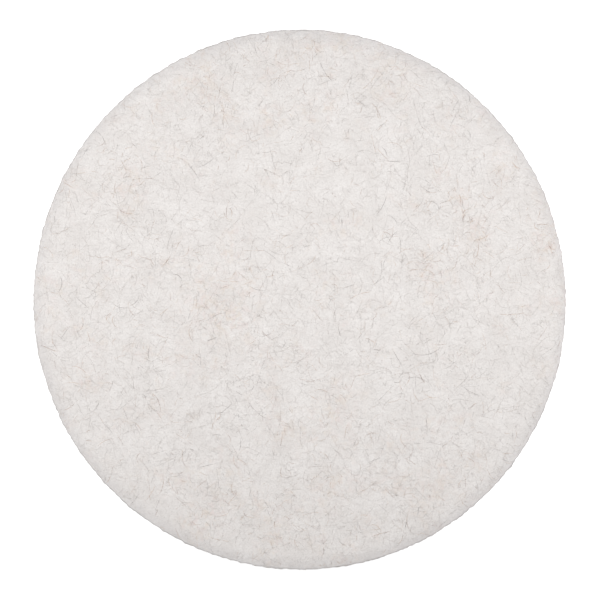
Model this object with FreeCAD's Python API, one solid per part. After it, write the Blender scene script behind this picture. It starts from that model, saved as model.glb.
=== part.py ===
import FreeCAD, Part
import math
import os

# A self-adhesive pressed-wool felt polishing disc for a flat lap, lying on its release liner
# with the working face up. Lengths are in millimetres.
# Frame: the origin is the centre of the liner's lower face, on the disc's spin axis.
# +Z points from the liner to the working face. +Y runs along the liner's slit.

INCH = 25.4

DISC_DIAMETER = 6 * INCH
FELT_THICKNESS = INCH / 4
SHOULDER_RADIUS = 18        # the working face falls away gently near the cut
SHOULDER_TURN = math.radians(12)    # how steeply it falls where the corner starts
CORNER_RADIUS = 0.6         # the corner of the cut is only a little rounded
BACK_EDGE_CHAMFER = 0.25    # the die bruises the lower edge of the cut a little

ADHESIVE_THICKNESS = 0.10   # each coat of the double-sided tape
FILM_THICKNESS = 0.05       # the polyester film between the two coats
LINER_THICKNESS = 0.12      # silicone-coated release paper
LINER_SLIT = 0.20           # width of the slit that splits the liner in two

# Heights of the layers, counted up from the liner's lower face.
LINER_TOP = LINER_THICKNESS
PLATE_ADHESIVE_TOP = LINER_TOP + ADHESIVE_THICKNESS
FILM_TOP = PLATE_ADHESIVE_TOP + FILM_THICKNESS
FELT_ADHESIVE_TOP = FILM_TOP + ADHESIVE_THICKNESS
FELT_TOP = FELT_ADHESIVE_TOP + FELT_THICKNESS

RADIUS = DISC_DIAMETER / 2
SPIN_AXIS = FreeCAD.Vector(0, 0, 1)
ON_AXIS = FreeCAD.Vector(0, 0, 0)


def rim_point(radius, height):
    """A point of a profile in the XZ plane."""
    return FreeCAD.Vector(radius, 0, height)


def layer(bottom, top):
    """A full round layer between two heights, on the spin axis."""
    return Part.makeCylinder(RADIUS, top - bottom, rim_point(0, bottom))


def arc_point(centre, radius, turn):
    """A point of a circle in the XZ plane. turn is its angle from straight up, towards the rim."""
    return centre + FreeCAD.Vector(radius * math.sin(turn), 0, radius * math.cos(turn))


def felt_pad():
    """The felt disc: its half section, with the worn working edge, turned about the spin axis."""
    meeting_radius = RADIUS - CORNER_RADIUS * (1 - math.sin(SHOULDER_TURN))
    face_radius = meeting_radius - SHOULDER_RADIUS * math.sin(SHOULDER_TURN)
    shoulder_centre = rim_point(face_radius, FELT_TOP - SHOULDER_RADIUS)
    corner_centre = arc_point(shoulder_centre, SHOULDER_RADIUS - CORNER_RADIUS, SHOULDER_TURN)
    axis_bottom = rim_point(0, FELT_ADHESIVE_TOP)
    chamfer_inner = rim_point(RADIUS - BACK_EDGE_CHAMFER, FELT_ADHESIVE_TOP)
    chamfer_outer = rim_point(RADIUS, FELT_ADHESIVE_TOP + BACK_EDGE_CHAMFER)
    side_top = rim_point(RADIUS, corner_centre.z)
    corner_middle = arc_point(corner_centre, CORNER_RADIUS, (SHOULDER_TURN + math.pi / 2) / 2)
    meeting = arc_point(corner_centre, CORNER_RADIUS, SHOULDER_TURN)
    shoulder_middle = arc_point(shoulder_centre, SHOULDER_RADIUS, SHOULDER_TURN / 2)
    face_rim = rim_point(face_radius, FELT_TOP)
    axis_top = rim_point(0, FELT_TOP)
    section = Part.Wire(
        [
            Part.makeLine(axis_bottom, chamfer_inner),
            Part.makeLine(chamfer_inner, chamfer_outer),
            Part.makeLine(chamfer_outer, side_top),
            Part.Arc(side_top, corner_middle, meeting).toShape(),
            Part.Arc(meeting, shoulder_middle, face_rim).toShape(),
            Part.makeLine(face_rim, axis_top),
            Part.makeLine(axis_top, axis_bottom),
        ]
    )
    return Part.Face(section).revolve(ON_AXIS, SPIN_AXIS, 360)


def liner_half(side):
    """Half of the release liner, cut off straight at the slit. side is -1 for left, +1 for right."""
    sheet = layer(0, LINER_TOP)
    near = side * LINER_SLIT / 2
    far = side * 2 * RADIUS
    window = Part.makeBox(abs(far - near), 4 * RADIUS, 2 * LINER_THICKNESS)
    window.translate(FreeCAD.Vector(min(near, far), -2 * RADIUS, -LINER_THICKNESS / 2))
    return sheet.common(window).Solids[0]


PARTS = {
    "felt_pad": felt_pad(),
    "felt_side_adhesive": layer(FILM_TOP, FELT_ADHESIVE_TOP),
    "carrier_film": layer(PLATE_ADHESIVE_TOP, FILM_TOP),
    "plate_side_adhesive": layer(LINER_TOP, PLATE_ADHESIVE_TOP),
    "release_liner_left": liner_half(-1),
    "release_liner_right": liner_half(+1),
}

os.makedirs("parts", exist_ok=True)
for name, shape in PARTS.items():
    shape.exportStep(f"parts/{name}.step")
    box = shape.optimalBoundingBox(False)
    print(
        f"{name}: {box.XLength:.2f} x {box.YLength:.2f} mm, z {box.ZMin:.3f} to {box.ZMax:.3f},",
        f"{shape.Volume / 1000:.3f} cm3, {shape.ShapeType}, valid {shape.isValid()}",
    )
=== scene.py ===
import math

import bpy
import numpy as np
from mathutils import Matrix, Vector, noise


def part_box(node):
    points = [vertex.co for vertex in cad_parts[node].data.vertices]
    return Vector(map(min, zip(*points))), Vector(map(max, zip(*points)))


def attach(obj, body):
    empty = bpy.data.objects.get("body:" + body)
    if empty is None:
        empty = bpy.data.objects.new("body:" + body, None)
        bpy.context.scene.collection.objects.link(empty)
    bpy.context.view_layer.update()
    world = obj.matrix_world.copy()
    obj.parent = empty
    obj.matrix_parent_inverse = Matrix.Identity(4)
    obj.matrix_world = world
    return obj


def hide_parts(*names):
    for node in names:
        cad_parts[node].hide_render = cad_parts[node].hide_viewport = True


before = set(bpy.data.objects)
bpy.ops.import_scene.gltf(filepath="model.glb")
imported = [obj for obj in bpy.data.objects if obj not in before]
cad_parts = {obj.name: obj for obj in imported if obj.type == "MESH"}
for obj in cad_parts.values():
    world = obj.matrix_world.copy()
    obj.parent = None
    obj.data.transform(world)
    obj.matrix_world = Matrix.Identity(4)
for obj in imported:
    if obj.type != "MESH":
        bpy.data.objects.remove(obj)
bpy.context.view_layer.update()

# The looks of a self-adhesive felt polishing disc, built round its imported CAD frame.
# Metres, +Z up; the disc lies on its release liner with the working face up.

MM = 0.001

FELT_LOW, FELT_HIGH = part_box("felt_pad")
RADIUS = (FELT_HIGH.y - FELT_LOW.y) / 2
FELT_TOP = FELT_HIGH.z
FELT_BOTTOM = FELT_LOW.z


def show(piece, material, body, stands_for=()):
    """Finishes a piece: its material, the body it moves with, and the CAD nodes it stands for."""
    piece.data.materials.append(material)
    if stands_for:
        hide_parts(*stands_for)
    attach(piece, body)
    return piece


def mesh_object(name, points, faces, smooth=True):
    mesh = bpy.data.meshes.new(name)
    mesh.from_pydata([tuple(p) for p in points], [], faces)
    mesh.validate()
    if smooth:
        mesh.shade_smooth()
    obj = bpy.data.objects.new(name, mesh)
    bpy.context.scene.collection.objects.link(obj)
    return obj


# ---------------------------------------------------------------- outline of the die cut

OVAL = 0.0071                # how far the cut is from round, as a share of the radius
OVAL_ANGLE = math.radians(94)    # direction of the longer axis
LOBES = 0.0022               # a slight three-sided bias, as a share of the radius
LOBES_ANGLE = math.radians(75)
NICK_LAYERS = (              # length of the edge's waves along the cut, then their depth
    (9.0 * MM, 0.14 * MM),
    (2.6 * MM, 0.15 * MM),
    (1.3 * MM, 0.28 * MM),
)
NICK_SHIFT = (5.5, 2.5, 8.5)


def cut_radius(angle):
    """Radius of the die cut in one direction."""
    oval = OVAL * math.cos(2 * (angle - OVAL_ANGLE))
    lobes = LOBES * math.cos(3 * (angle - LOBES_ANGLE))
    return RADIUS * (1 + oval + lobes)


def on_circle(angle, height=0.0):
    return Vector((RADIUS * math.cos(angle), RADIUS * math.sin(angle), height))


def nicks(angle, height=0.0):
    """How far the cut edge wanders from its outline, in metres."""
    wander = 0
    for length, depth in NICK_LAYERS:
        shift = Vector(NICK_SHIFT) + Vector((0, 0, length))
        wander += depth * noise.noise(on_circle(angle, height) / length + shift)
    return wander


# ---------------------------------------------------------------- the felt disc

RELIEF_LAYERS = (            # size of the lumps, then their height
    (14 * MM, 0.10 * MM),
    (5.0 * MM, 0.06 * MM),
    (2.4 * MM, 0.04 * MM),
    (1.2 * MM, 0.03 * MM),
)
RELIEF_SHIFT = Vector((3.1, 7.7, 1.3))
LAYERING = 2.5               # the felt's lumps are this much flatter than they are wide
FACE_MARGIN = 0.06 * MM      # keeps the lumps just inside the felt's true thickness
SHOULDER_WIDTH = 4.5 * MM    # how far in from the cut the face starts to fall away
SHOULDER_DROP = 0.36 * MM    # how much it has fallen where the corner starts
SHOULDER_CURVE = 2.2         # the fall steepens towards the cut as this power
CORNER_RADIUS = 0.6 * MM
CORNER_STEPS = 5
GRID = 130                   # square rings of faces from the centre to the corner
SIDE_RINGS = 15              # rings of faces down the cut edge
BACK_INSET = 0.15 * MM       # the lower edge of the cut is drawn in a little


def relief(point):
    """Height of the felt's lumps and hollows at a point, in metres."""
    place = Vector((point.x, point.y, point.z * LAYERING))
    return sum(
        height * noise.noise(place / size + RELIEF_SHIFT * (k + 1))
        for k, (size, height) in enumerate(RELIEF_LAYERS)
    )


def face_height(radius):
    """Height of the smooth working face at a distance from the axis, on a round disc."""
    into_shoulder = (radius - (RADIUS - SHOULDER_WIDTH)) / (SHOULDER_WIDTH - CORNER_RADIUS)
    into_shoulder = min(max(into_shoulder, 0.0), 1.0)
    into_corner = min(max(radius - (RADIUS - CORNER_RADIUS), 0.0), CORNER_RADIUS)
    rounding = CORNER_RADIUS - math.sqrt(CORNER_RADIUS**2 - into_corner**2)
    return FELT_TOP - FACE_MARGIN - SHOULDER_DROP * into_shoulder**SHOULDER_CURVE - rounding


def felt_point(radius, angle, height, side):
    """A point of the felt's skin. side is 0 on the face and 1 on the cut edge."""
    spread = radius * cut_radius(angle) / RADIUS
    flat = Vector((spread * math.cos(angle), spread * math.sin(angle), height))
    outward = Vector((math.cos(angle), math.sin(angle), 0))
    push = outward * side * (relief(flat) + nicks(angle, height))
    lift = Vector((0, 0, (1 - side) * relief(flat)))
    return flat + push + lift


def ring_angle(i, j):
    """Angle of a grid point when a square grid is wrapped into round rings."""
    ring = max(abs(i), abs(j))
    if ring == 0:
        return 0.0
    eighth = math.pi / 4
    if i == ring:
        return eighth * j / ring
    if j == ring:
        return eighth * (2 - i / ring)
    if i == -ring:
        return eighth * (4 - j / ring)
    return eighth * (6 + i / ring)


def outer_ring(n):
    """The grid's outermost points, in order round the disc."""
    right = [(n, j) for j in range(-n, n)]
    top = [(i, n) for i in range(n, -n, -1)]
    left = [(-n, j) for j in range(n, -n, -1)]
    bottom = [(i, -n) for i in range(-n, n)]
    return right + top + left + bottom


def felt_edge_profile():
    """The section of the cut edge below the face: radius, height and how far it faces outward."""
    for k in range(1, CORNER_STEPS + 1):
        turn = math.pi / 2 * k / CORNER_STEPS
        radius = RADIUS - CORNER_RADIUS * (1 - math.sin(turn))
        yield radius, face_height(radius), k / CORNER_STEPS
    wall_top = face_height(RADIUS)
    for k in range(1, SIDE_RINGS):
        yield RADIUS, wall_top + (FELT_BOTTOM - wall_top) * k / SIDE_RINGS, 1
    yield RADIUS - BACK_INSET, FELT_BOTTOM, 1


def felt_disc():
    """The felt: a wrapped grid for the face, rings down the cut edge, and a plain hidden back."""
    points = []
    index = {}
    steps = range(-GRID, GRID + 1)
    for i in steps:
        for j in steps:
            radius = (RADIUS - CORNER_RADIUS) * max(abs(i), abs(j)) / GRID
            index[i, j] = len(points)
            points.append(felt_point(radius, ring_angle(i, j), face_height(radius), 0))
    faces = [
        (index[i, j], index[i + 1, j], index[i + 1, j + 1], index[i, j + 1])
        for i in steps[:-1]
        for j in steps[:-1]
    ]
    ring = outer_ring(GRID)
    previous = [index[place] for place in ring]
    for radius, height, side in felt_edge_profile():
        current = range(len(points), len(points) + len(ring))
        points += [felt_point(radius, ring_angle(i, j), height, side) for i, j in ring]
        for k, low in enumerate(current):
            after = (k + 1) % len(ring)
            faces.append((previous[k], low, current[after], previous[after]))
        previous = current
    points.append((0, 0, FELT_BOTTOM))
    for k, low in enumerate(previous):
        faces.append((low, len(points) - 1, previous[(k + 1) % len(ring)]))
    return mesh_object("felt_disc", points, faces)


# ---------------------------------------------------------------- stray hairs and loose wool

# Patches where coloured hairs gathered in the wool: place and size as shares of the radius.
STAINS = (
    ((-0.32, -0.02), 0.16),
    ((-0.67, 0.45), 0.06),
    ((-0.34, 0.79), 0.07),
    ((-0.10, 0.90), 0.07),
    ((0.34, 0.84), 0.10),
    ((0.64, 0.24), 0.06),
    ((0.60, 0.38), 0.05),
    ((0.48, 0.15), 0.04),
    ((0.91, 0.22), 0.05),
    ((0.16, -0.37), 0.09),
    ((-0.35, -0.77), 0.10),
    ((0.09, -0.72), 0.09),
    ((-0.10, -0.88), 0.08),
    ((0.50, -0.70), 0.10),
)
SHEET_RADIUS = 1.035 * RADIUS
EDGE_MARGIN = 0.2 * MM       # hairs on the face stop this far inside the cut
SHORTEST_HAIR = 3            # a hair that the die cut to fewer points than this is left out
LENGTH_BIAS = 1.6            # over 1, more of the hairs are short
WIDTH_BIAS = 2               # over 1, more of them are thin
DIPS = (0.4, 1.4)            # fewest and most times that a hair dips into the felt and out again
TIP_WIDTH = 0.3              # width of a hair's tip, as a share of its middle
TAPER = 5                    # how fast a hair thickens from its tips


def face_surface(x, y):
    """Height of the felt's face, lumps included, at a place on the disc."""
    height = face_height(math.hypot(x, y) * RADIUS / cut_radius(math.atan2(y, x)))
    return height + relief(Vector((x, y, height)))


def spot_on_sheet(rng):
    """A place on the felt sheet, which the die cuts just inside SHEET_RADIUS."""
    angle = rng.uniform(0, 2 * math.pi)
    return SHEET_RADIUS * math.sqrt(rng.random()) * np.array([math.cos(angle), math.sin(angle)])


def scattered(rng, count, clump_share, clump_size, clumps):
    """Places on the sheet. clump_share of them gather in clumps, or in the stains if clumps is 0.

    clump_size is a clump's spread in metres, or its multiple of a stain's own size.
    """
    if clumps:
        centres = [spot_on_sheet(rng) for _ in range(clumps)]
        sizes = [clump_size] * clumps
    else:
        centres = [np.array(place) * RADIUS for place, _ in STAINS]
        sizes = [size * RADIUS * clump_size for _, size in STAINS]
    for _ in range(count):
        if rng.random() < clump_share:
            k = rng.integers(len(centres))
            yield centres[k] + rng.normal(0, sizes[k], 2)
        else:
            yield spot_on_sheet(rng)


def curl(rng, place, length, steps, bend, kink):
    """A flat, curling line through a place. bend is its turn from end to end, kink its unevenness."""
    turns = rng.normal(0, bend) / steps + rng.normal(0, kink, steps) / math.sqrt(steps)
    headings = rng.uniform(0, 2 * math.pi) + np.cumsum(turns)
    moves = np.stack([np.cos(headings), np.sin(headings)], axis=1) * length / steps
    line = np.vstack([np.zeros(2), np.cumsum(moves, axis=0)])
    return line - line.mean(axis=0) + place


def trimmed(line):
    """A hair's line as far as the place where the die cut through it."""
    inside = [math.hypot(x, y) < cut_radius(math.atan2(y, x)) - EDGE_MARGIN for x, y in line]
    if not inside[0]:
        line = line[::-1]
        inside.reverse()
    return line[:inside.index(False)] if False in inside else line


def in_and_out(rng, count, lift, wave):
    """Heights above the felt along a hair that dips into the felt and comes out again."""
    share = np.linspace(0, 1, count)
    return lift + wave * np.sin(2 * math.pi * (rng.uniform(*DIPS) * share + rng.random()))


def tubes(name, paths, widths, sides=3):
    """One mesh of thin closed tubes that taper at both ends."""
    points = []
    faces = []
    for path, width in zip(paths, widths):
        count = len(path)
        along = np.gradient(path, axis=0)
        along /= np.linalg.norm(along, axis=1)[:, None]
        across = np.cross(along, (0, 0, 1))
        across /= np.maximum(np.linalg.norm(across, axis=1), 1e-9)[:, None]
        upward = np.cross(across, along)
        share = np.linspace(0, 1, count)
        radii = width / 2 * np.clip(np.minimum(share, 1 - share) * TAPER + TIP_WIDTH, 0, 1)
        first = len(points)
        for k in range(count):
            for s in range(sides):
                turn = math.pi / 2 + 2 * math.pi * s / sides
                offset = math.cos(turn) * across[k] + math.sin(turn) * upward[k]
                points.append(path[k] + offset * radii[k])
        for k in range(count - 1):
            low, high = first + k * sides, first + (k + 1) * sides
            for s in range(sides):
                t = (s + 1) % sides
                faces.append((low + s, low + t, high + t, high + s))
        last = first + (count - 1) * sides
        faces.append(tuple(first + s for s in reversed(range(sides))))
        faces.append(tuple(last + s for s in range(sides)))
    return mesh_object(name, points, faces)


def face_hairs(name, seed, count, length, width, shape, clumping, lift, wave):
    """Hairs that lie on the working face. length and width are (least, most).

    shape is (runs in a hair, bend, kink), and clumping is what scattered() takes after count.
    """
    rng = np.random.default_rng(seed)
    steps, bend, kink = shape
    paths = []
    widths = []
    for place in scattered(rng, count, *clumping):
        size = length[0] + (length[1] - length[0]) * rng.random() ** LENGTH_BIAS
        line = trimmed(curl(rng, place, size, steps, bend, kink))
        thickness = width[0] + (width[1] - width[0]) * rng.random() ** WIDTH_BIAS
        if len(line) >= SHORTEST_HAIR:
            ground = np.array([face_surface(x, y) for x, y in line])
            paths.append(np.column_stack([line, ground + in_and_out(rng, len(line), lift, wave)]))
            widths.append(thickness)
    return tubes(name, paths, widths)


EDGE_POINTS = 8              # points along a hair on the cut edge
EDGE_LOWEST = 0.1 * MM       # such a hair stays this far above the felt's lower face
EDGE_MIDDLE_LOWEST = 0.3 * MM    # and its middle this far
EDGE_HIGHEST = 0.3           # how far up the rounded corner it may lie
EDGE_WANDER = 0.03 * MM      # how far it strays up and down along its length


def edge_hairs(name, seed, count, length, width, slope, stand_off):
    """Hairs and fibres along the cut edge, most of them level, as the felt's layers are.

    slope is how far they turn from level, in radians, and stand_off is (lift, wave).
    """
    rng = np.random.default_rng(seed)
    top = face_height(RADIUS) + CORNER_RADIUS * EDGE_HIGHEST
    paths = []
    widths = []
    for _ in range(count):
        angle = rng.uniform(0, 2 * math.pi)
        height = rng.uniform(FELT_BOTTOM + EDGE_MIDDLE_LOWEST, top)
        size = rng.uniform(*length)
        rise = rng.normal(0, slope)
        share = np.linspace(-0.5, 0.5, EDGE_POINTS)
        angles = angle + share * size * math.cos(rise) / RADIUS
        strays = rng.normal(0, EDGE_WANDER, EDGE_POINTS)
        heights = height + share * size * math.sin(rise) + strays
        heights = np.clip(heights, FELT_BOTTOM + EDGE_LOWEST, top)
        stands = in_and_out(rng, EDGE_POINTS, *stand_off)
        stands[-1] += abs(rng.normal(0, stand_off[1] * 2))
        path = []
        for a, z, stand in zip(angles, heights, stands):
            skin = felt_point(RADIUS, a, z, 1)
            path.append(skin + Vector((math.cos(a), math.sin(a), 0)) * stand)
        paths.append(np.array(path))
        widths.append(rng.uniform(*width))
    return tubes(name, paths, widths)


# ---------------------------------------------------------------- the backing

BACKING_STEPS = 360          # points round a layer of the backing
BACKING_NICKS = 0.5          # its edge wanders this much as far as the felt's
GLUE_INSET = 0.10 * MM       # how far each layer stays inside the cut
FILM_INSET = 0.06 * MM
LINER_INSET = 0.04 * MM


def backing_radius(angle, inset):
    return cut_radius(angle) - inset + BACKING_NICKS * nicks(angle)


def slab(name, outline, bottom, top):
    """A thin flat layer with this outline."""
    count = len(outline)
    points = [(x, y, bottom) for x, y in outline] + [(x, y, top) for x, y in outline]
    faces = [tuple(reversed(range(count))), tuple(range(count, 2 * count))]
    faces += [
        (k, (k + 1) % count, count + (k + 1) % count, count + k) for k in range(count)
    ]
    return mesh_object(name, points, faces, smooth=False)


def backing_layer(name, node, inset):
    low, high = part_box(node)
    angles = [2 * math.pi * k / BACKING_STEPS for k in range(BACKING_STEPS)]
    outline = [
        (backing_radius(a, inset) * math.cos(a), backing_radius(a, inset) * math.sin(a))
        for a in angles
    ]
    return slab(name, outline, low.z, high.z)


def liner_half(name, node, side, inset):
    """Half of the liner. side is -1 for left, +1 for right; the straight edge is at the slit."""
    low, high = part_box(node)
    slit = low.x if side > 0 else high.x
    outline = []
    for k in range(BACKING_STEPS + 1):
        angle = -math.pi / 2 + math.pi * k / BACKING_STEPS
        if side < 0:
            angle += math.pi
        x = backing_radius(angle, inset) * math.cos(angle)
        y = backing_radius(angle, inset) * math.sin(angle)
        outline.append((max(x, slit) if side > 0 else min(x, slit), y))
    return slab(name, outline, low.z, high.z)


# ---------------------------------------------------------------- materials

def rgb(r, g, b):
    return (r, g, b, 1)


class Shader:
    """A new material, with short ways to add and join its nodes."""

    def __init__(self, name, roughness, specular=0.5):
        self.material = bpy.data.materials.new(name)
        self.material.use_nodes = True
        self.nodes = self.material.node_tree.nodes
        self.links = self.material.node_tree.links
        self.surface = self.nodes["Principled BSDF"]
        self.surface.inputs["Roughness"].default_value = roughness
        self.surface.inputs["Specular IOR Level"].default_value = specular
        self.place = self.nodes.new("ShaderNodeTexCoord").outputs["Object"]

    def join(self, value, socket):
        if isinstance(value, bpy.types.NodeSocket):
            self.links.new(value, socket)
        else:
            socket.default_value = value

    def noise(self, size, detail=2.0, rough=0.5, seed=0.0, turn=0.0, stretch=(1, 1, 1), twist=0.0):
        """Noise with lumps of about this size, drawn out by stretch along its turned axes."""
        mapping = self.nodes.new("ShaderNodeMapping")
        mapping.inputs["Location"].default_value = (seed, seed * 1.7, seed * 0.6)
        mapping.inputs["Rotation"].default_value = (0, 0, math.radians(turn))
        mapping.inputs["Scale"].default_value = [1 / (size * s) for s in stretch]
        self.links.new(self.place, mapping.inputs["Vector"])
        texture = self.nodes.new("ShaderNodeTexNoise")
        texture.inputs["Scale"].default_value = 1.0
        texture.inputs["Detail"].default_value = detail
        texture.inputs["Roughness"].default_value = rough
        texture.inputs["Distortion"].default_value = twist
        self.links.new(mapping.outputs["Vector"], texture.inputs["Vector"])
        return texture.outputs["Fac"]

    def math(self, operation, a, b=0.0):
        node = self.nodes.new("ShaderNodeMath")
        node.operation = operation
        self.join(a, node.inputs[0])
        self.join(b, node.inputs[1])
        return node.outputs[0]

    def total(self, values):
        result = values[0]
        for value in values[1:]:
            result = self.math("ADD", result, value)
        return result

    def spread(self, value, low, high, out_low=0.0, out_high=1.0):
        """A value eased from low..high to out_low..out_high."""
        node = self.nodes.new("ShaderNodeMapRange")
        node.interpolation_type = "SMOOTHSTEP"
        self.join(value, node.inputs["Value"])
        node.inputs["From Min"].default_value = low
        node.inputs["From Max"].default_value = high
        node.inputs["To Min"].default_value = out_low
        node.inputs["To Max"].default_value = out_high
        return node.outputs["Result"]

    def mix(self, share, a, b, blend="MIX"):
        node = self.nodes.new("ShaderNodeMix")
        node.data_type = "RGBA"
        node.blend_type = blend
        self.join(share, node.inputs[0])
        self.join(a, node.inputs[6])
        self.join(b, node.inputs[7])
        return node.outputs[2]

    def lay(self, colour, over, cover, strength):
        """colour with another laid over it where cover is high, at this strength."""
        return self.mix(self.math("MULTIPLY", cover, strength), colour, over)

    def distance(self, x, y):
        """Distance from a line that stands upright through a place on the disc."""
        flatten = self.nodes.new("ShaderNodeVectorMath")
        flatten.operation = "MULTIPLY"
        self.links.new(self.place, flatten.inputs[0])
        flatten.inputs[1].default_value = (1, 1, 0)
        node = self.nodes.new("ShaderNodeVectorMath")
        node.operation = "DISTANCE"
        self.links.new(flatten.outputs[0], node.inputs[0])
        node.inputs[1].default_value = (x, y, 0)
        return node.outputs["Value"]

    def sideways(self):
        """0 where the surface faces up, 1 where it is upright."""
        parts = self.nodes.new("ShaderNodeSeparateXYZ")
        self.links.new(self.nodes.new("ShaderNodeNewGeometry").outputs["Normal"], parts.inputs[0])
        return self.spread(parts.outputs["Z"], 0.25, 0.8, 1, 0)

    def fibres(self, size, width, seed, turn, draw):
        """Thin curling lines where a noise crosses its middle value, broken up by a second noise.

        size is the gap between them, and draw is how far they are drawn out along turn.
        """
        field = self.noise(size, 1.0, 0.5, seed, turn, stretch=(draw, 1, 0.4), twist=0.3)
        off_line = self.math("ABSOLUTE", self.math("SUBTRACT", field, 0.5))
        line = self.spread(off_line, 0.0, width, 1.0, 0.0)
        kept = self.spread(self.noise(size * 1.2, 1.0, 0.5, seed + 31), 0.42, 0.6)
        return self.math("MULTIPLY", line, kept)

    def colour(self, value):
        self.join(value, self.surface.inputs["Base Color"])

    def bump(self, height, distance, strength):
        node = self.nodes.new("ShaderNodeBump")
        node.inputs["Strength"].default_value = strength
        node.inputs["Distance"].default_value = distance
        self.join(height, node.inputs["Height"])
        self.join(node.outputs["Normal"], self.surface.inputs["Normal"])


FELT_GREY = rgb(0.747, 0.715, 0.695)
FELT_WHITE = rgb(0.813, 0.785, 0.768)
FELT_MOTTLE = rgb(0.72, 0.685, 0.665)
FELT_OCHRE = rgb(0.70, 0.60, 0.51)
FELT_PINK = rgb(0.73, 0.605, 0.58)
FELT_STAIN = rgb(0.60, 0.53, 0.48)
FELT_DARK_FIBRE = rgb(0.40, 0.36, 0.335)
FELT_PALE_FIBRE = rgb(0.845, 0.82, 0.805)
FELT_GRAIN = rgb(0.62, 0.585, 0.565)
FELT_LAYER = rgb(0.52, 0.50, 0.485)
# RIM_SHADE is painted shade: a cool grey multiplied into the felt's colour over the last few
# millimetres to the cut, standing in for the dimmer light at the rim.
RIM_SHADE = rgb(0.86, 0.865, 0.885)
RIM_INNER = RADIUS - 4.5 * MM    # the rim's shade deepens from here
RIM_OUTER = RADIUS + 0.5 * MM    # to here
DARK_FIBRES = (              # gap, width of the lines, seed and direction in degrees
    (2.6 * MM, 0.030, 2.0, 10),
    (1.9 * MM, 0.035, 5.0, 70),
    (2.2 * MM, 0.030, 9.0, 130),
    (3.0 * MM, 0.022, 14.0, 40),
)
PALE_FIBRES = (
    (1.4 * MM, 0.025, 22.0, 20),
    (1.1 * MM, 0.025, 27.0, 100),
    (0.9 * MM, 0.030, 33.0, 60),
)


def felt_material():
    """Undyed wool: pale clouds, stained patches, fine fibres, greyer layers on the cut edge, and
    painted shade towards the rim.
    """
    s = Shader("wool_felt", roughness=0.95, specular=0.2)
    s.surface.inputs["Sheen Weight"].default_value = 0.15
    s.surface.inputs["Sheen Roughness"].default_value = 0.6

    cloud = s.noise(8 * MM, detail=5, rough=0.6, seed=0.3, stretch=(1, 1, 0.3))
    colour = s.mix(s.spread(cloud, 0.32, 0.68), FELT_GREY, FELT_WHITE)
    mottle = s.noise(2.0 * MM, detail=4, rough=0.65, seed=12.0, stretch=(1, 1, 0.3))
    colour = s.lay(colour, FELT_MOTTLE, s.spread(mottle, 0.34, 0.68), strength=0.24)

    patches = []
    for (x, y), size in STAINS:
        away = s.distance(x * RADIUS, y * RADIUS)
        patches.append(s.spread(away, 0.2 * size * RADIUS, 1.5 * size * RADIUS, 1, 0))
    stain = s.total(patches)
    wander = s.spread(s.noise(11 * MM, detail=3, rough=0.6, seed=17.0), 0.44, 0.72)
    gathered = s.math("ADD", s.math("MULTIPLY", stain, 0.7), wander)
    ochre = s.spread(s.noise(2.3 * MM, detail=3, rough=0.65, seed=7.7), 0.46, 0.66)
    colour = s.lay(colour, FELT_OCHRE, s.math("MULTIPLY", gathered, ochre), strength=0.42)
    pink = s.spread(s.noise(1.9 * MM, detail=3, rough=0.65, seed=18.0), 0.46, 0.66)
    colour = s.lay(colour, FELT_PINK, s.math("MULTIPLY", gathered, pink), strength=0.32)
    colour = s.lay(colour, FELT_STAIN, stain, strength=0.07)

    dark_lines = s.total([s.fibres(*line, draw=2.6) for line in DARK_FIBRES])
    colour = s.lay(colour, FELT_DARK_FIBRE, dark_lines, strength=0.10)
    pale_lines = s.total([s.fibres(*line, draw=1.8) for line in PALE_FIBRES])
    colour = s.lay(colour, FELT_PALE_FIBRE, pale_lines, strength=0.30)

    grain = s.noise(0.5 * MM, detail=2, rough=0.7, seed=41.0, stretch=(1, 1, 0.5))
    colour = s.lay(colour, FELT_GRAIN, s.spread(grain, 0.3, 0.7), strength=0.38)

    layers = s.noise(2.0 * MM, detail=4, rough=0.65, seed=61.0, stretch=(1, 1, 0.13))
    layers = s.math("MULTIPLY", s.sideways(), s.spread(layers, 0.34, 0.66))
    colour = s.lay(colour, FELT_LAYER, layers, strength=0.5)

    # Painted shade: the colour is darkened towards the rim by RIM_SHADE, broken up unevenly by a
    # noise.
    rim = s.spread(s.distance(0, 0), RIM_INNER, RIM_OUTER)
    painted_rim_shade = s.noise(1.1 * MM, detail=3, rough=0.7, seed=47.0, stretch=(1, 1, 0.4))
    painted_rim_shade = s.math("MULTIPLY", rim, s.spread(painted_rim_shade, 0.25, 0.75, 0.25, 0.85))
    s.colour(s.mix(painted_rim_shade, colour, RIM_SHADE, blend="MULTIPLY"))

    s.bump(
        s.total([
            s.math("MULTIPLY", s.noise(0.6 * MM, detail=3, rough=0.6, seed=51.0), 0.6),
            s.math("MULTIPLY", pale_lines, 0.4),
            s.math("MULTIPLY", dark_lines, -0.2),
            s.math("MULTIPLY", layers, -0.8),
        ]),
        distance=0.15 * MM,
        strength=0.50,
    )
    return s.material


def hair_material(name, dark, light, roughness=0.6):
    """Hairs of one kind, between two shades."""
    s = Shader(name, roughness, specular=0.3)
    s.colour(s.mix(s.spread(s.noise(2 * MM, 1.0, 0.5, 3.0), 0.35, 0.65), dark, light))
    return s.material


def adhesive_material():
    s = Shader("acrylic_adhesive", roughness=0.25)
    s.colour(s.mix(s.noise(3 * MM, 3, 0.6, 2.0), rgb(0.70, 0.64, 0.48), rgb(0.78, 0.73, 0.58)))
    s.bump(s.noise(1.5 * MM, 2, 0.5, 6.0), distance=0.02 * MM, strength=0.4)
    return s.material


def film_material():
    s = Shader("polyester_film", roughness=0.12)
    s.colour(s.mix(s.noise(9 * MM, 2, 0.5, 4.0), rgb(0.76, 0.78, 0.78), rgb(0.84, 0.85, 0.85)))
    return s.material


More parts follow.
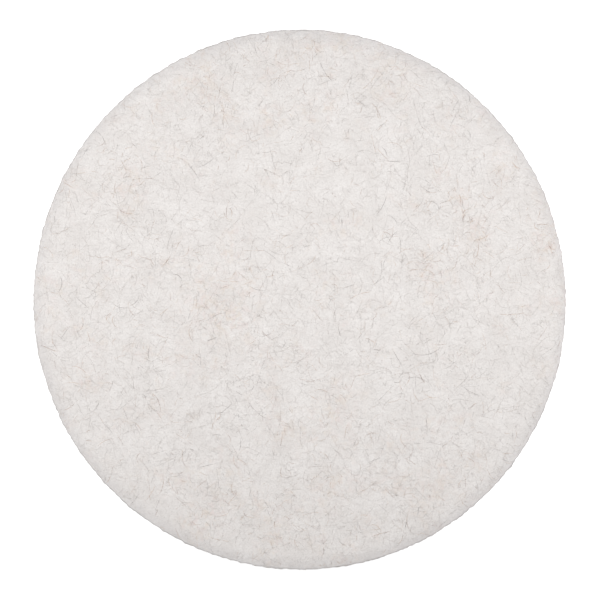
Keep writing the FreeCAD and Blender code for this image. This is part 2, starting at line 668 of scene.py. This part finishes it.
def liner_material():
    s = Shader("release_paper", roughness=0.42)
    flock = s.spread(s.noise(1.2 * MM, 4, 0.65, 8.0), 0.3, 0.7)
    colour = s.mix(flock, rgb(0.62, 0.50, 0.33), rgb(0.71, 0.59, 0.41))
    strands = s.total([
        s.fibres(1.6 * MM, width=0.02, seed=61.0, turn=0, draw=2.2),
        s.fibres(1.3 * MM, width=0.02, seed=66.0, turn=80, draw=2.0),
    ])
    s.colour(s.lay(colour, rgb(0.45, 0.34, 0.21), strands, strength=0.3))
    s.bump(s.total([flock, strands]), distance=0.01 * MM, strength=0.4)
    return s.material


FLOOR_GLOW = 0.62            # enough for the floor to come out pure white


def floor_material():
    s = Shader("floor_white", roughness=0.9, specular=0.2)
    s.surface.inputs["Base Color"].default_value = rgb(0.9, 0.9, 0.9)
    s.surface.inputs["Emission Color"].default_value = rgb(1, 1, 1)
    s.surface.inputs["Emission Strength"].default_value = FLOOR_GLOW
    return s.material


# ---------------------------------------------------------------- stage, light and camera

LENS = 120
SENSOR = 36
FRAMING = 1.1245             # width of the view over the disc's mean diameter
WORLD_LIGHT = 0.50           # strength of the light from above the horizon
BELOW_LIGHT = 0.90           # and from below it
HORIZON_BLUR = 0.1
FLOOR_HALF = 3.0
STRIP_PLACE = (0.0, 0.038, 0.21)
STRIP_LENGTH = 1.2
STRIP_WIDTH = 0.13
STRIP_POWER = 1.065


def add_camera():
    """A long lens straight above the disc."""
    data = bpy.data.cameras.new("camera")
    data.lens = LENS
    data.sensor_width = SENSOR
    camera = bpy.data.objects.new("camera", data)
    distance = 2 * RADIUS * FRAMING * LENS / SENSOR
    camera.location = (0, 0, FELT_TOP / 2 + distance)
    bpy.context.scene.collection.objects.link(camera)
    bpy.context.scene.camera = camera


def add_floor():
    """A white ground that throws no light back up on the disc: add_world() stands in for that."""
    quarters = ((-1, -1), (1, -1), (1, 1), (-1, 1))
    corners = [(x * FLOOR_HALF, y * FLOOR_HALF, 0) for x, y in quarters]
    floor = mesh_object("floor", corners, [(0, 1, 2, 3)], smooth=False)
    floor.data.materials.append(floor_material())
    floor.visible_diffuse = False


def add_strip_light():
    """A long softbox across the disc, low over it and a little behind its middle."""
    data = bpy.data.lights.new("strip", "AREA")
    data.shape = "RECTANGLE"
    data.size = STRIP_LENGTH
    data.size_y = STRIP_WIDTH
    data.energy = STRIP_POWER
    light = bpy.data.objects.new("strip", data)
    light.location = STRIP_PLACE
    light.rotation_euler = (-Vector(STRIP_PLACE)).to_track_quat("-Z", "Y").to_euler()
    light.visible_camera = False
    bpy.context.scene.collection.objects.link(light)


def add_world():
    """A white room: it looks plain white, and lights the disc from all round, more from below."""
    world = bpy.data.worlds.new("studio")
    bpy.context.scene.world = world
    world.use_nodes = True
    nodes, links = world.node_tree.nodes, world.node_tree.links
    height = nodes.new("ShaderNodeSeparateXYZ")
    links.new(nodes.new("ShaderNodeTexCoord").outputs["Generated"], height.inputs[0])
    light = nodes.new("ShaderNodeMapRange")
    light.inputs["From Min"].default_value = -HORIZON_BLUR
    light.inputs["From Max"].default_value = HORIZON_BLUR
    light.inputs["To Min"].default_value = BELOW_LIGHT
    light.inputs["To Max"].default_value = WORLD_LIGHT
    links.new(height.outputs["Z"], light.inputs["Value"])
    strength = nodes.new("ShaderNodeMapRange")
    links.new(light.outputs["Result"], strength.inputs["To Min"])
    strength.inputs["To Max"].default_value = 1.0
    links.new(nodes.new("ShaderNodeLightPath").outputs["Is Camera Ray"], strength.inputs["Value"])
    links.new(strength.outputs["Result"], nodes["Background"].inputs["Strength"])
    nodes["Background"].inputs["Color"].default_value = rgb(1, 1, 1)


# ---------------------------------------------------------------- making the scene

bpy.context.scene.view_settings.view_transform = "Standard"
add_camera()
add_floor()
add_world()
add_strip_light()

felt = show(felt_disc(), felt_material(), "pad", ["felt_pad"])

dark_hair = hair_material("dark_hair", rgb(0.08, 0.065, 0.058), rgb(0.24, 0.20, 0.18))
grey_hair = hair_material("grey_hair", rgb(0.36, 0.32, 0.295), rgb(0.56, 0.51, 0.475))
brown_hair = hair_material("brown_hair", rgb(0.30, 0.14, 0.08), rgb(0.58, 0.36, 0.19))
grey_wool = hair_material("grey_wool", rgb(0.58, 0.54, 0.515), rgb(0.70, 0.66, 0.63), 0.8)
pale_wool = hair_material("pale_wool", rgb(0.752, 0.725, 0.705), rgb(0.80, 0.776, 0.757), 0.8)

LOOSE = [
    face_hairs(
        "dark_hairs", seed=11, count=240, length=(3 * MM, 10 * MM), width=(0.02 * MM, 0.065 * MM),
        shape=(10, 0.9, 0.25), clumping=(0.35, 6 * MM, 30), lift=0.02 * MM, wave=0.04 * MM,
    ),
    face_hairs(
        "grey_hairs", seed=14, count=4000, length=(2 * MM, 9 * MM), width=(0.018 * MM, 0.045 * MM),
        shape=(7, 0.9, 0.25), clumping=(0.3, 7 * MM, 90), lift=0.02 * MM, wave=0.04 * MM,
    ),
    face_hairs(
        "brown_hairs", seed=12, count=1300, length=(1.5 * MM, 7 * MM), width=(0.02 * MM, 0.06 * MM),
        shape=(7, 1.2, 0.35), clumping=(0.35, 1.2, 0), lift=0.02 * MM, wave=0.04 * MM,
    ),
    face_hairs(
        "pale_fibres", seed=13, count=3000, length=(1.5 * MM, 6 * MM), width=(0.04 * MM, 0.07 * MM),
        shape=(8, 1.5, 1.2), clumping=(0.2, 8 * MM, 40), lift=0.05 * MM, wave=0.07 * MM,
    ),
    face_hairs(
        "short_grey_wool", seed=15, count=4000, length=(0.5 * MM, 2 * MM),
        width=(0.03 * MM, 0.06 * MM), shape=(3, 0.8, 0.7), clumping=(0.3, 4 * MM, 150),
        lift=0.01 * MM, wave=0.03 * MM,
    ),
    face_hairs(
        "short_pale_wool", seed=16, count=8000, length=(0.5 * MM, 2 * MM),
        width=(0.04 * MM, 0.07 * MM), shape=(3, 0.8, 0.7), clumping=(0.3, 5 * MM, 150),
        lift=0.03 * MM, wave=0.03 * MM,
    ),
    edge_hairs(
        "edge_hairs", seed=21, count=500, length=(1 * MM, 5 * MM), width=(0.025 * MM, 0.05 * MM),
        slope=0.2, stand_off=(0.0, 0.04 * MM),
    ),
    edge_hairs(
        "edge_grey_wool", seed=23, count=2500, length=(0.8 * MM, 3 * MM),
        width=(0.03 * MM, 0.06 * MM), slope=0.25, stand_off=(0.01 * MM, 0.04 * MM),
    ),
    edge_hairs(
        "edge_wool", seed=22, count=3000, length=(1 * MM, 4 * MM), width=(0.04 * MM, 0.07 * MM),
        slope=0.4, stand_off=(0.03 * MM, 0.06 * MM),
    ),
]
COLOURS = (
    dark_hair, grey_hair, brown_hair, pale_wool, grey_wool, pale_wool, grey_hair, grey_wool, pale_wool,
)
for piece, hair in zip(LOOSE, COLOURS):
    show(piece, hair, "pad")

glue = adhesive_material()
paper = liner_material()
show(
    backing_layer("tape_adhesive_upper", "felt_side_adhesive", GLUE_INSET),
    glue, "pad", ["felt_side_adhesive"],
)
show(
    backing_layer("tape_film", "carrier_film", FILM_INSET),
    film_material(), "pad", ["carrier_film"],
)
show(
    backing_layer("tape_adhesive_lower", "plate_side_adhesive", GLUE_INSET),
    glue, "pad", ["plate_side_adhesive"],
)
show(
    liner_half("liner_left", "release_liner_left", -1, LINER_INSET),
    paper, "left_liner", ["release_liner_left"],
)
show(
    liner_half("liner_right", "release_liner_right", +1, LINER_INSET),
    paper, "right_liner", ["release_liner_right"],
)
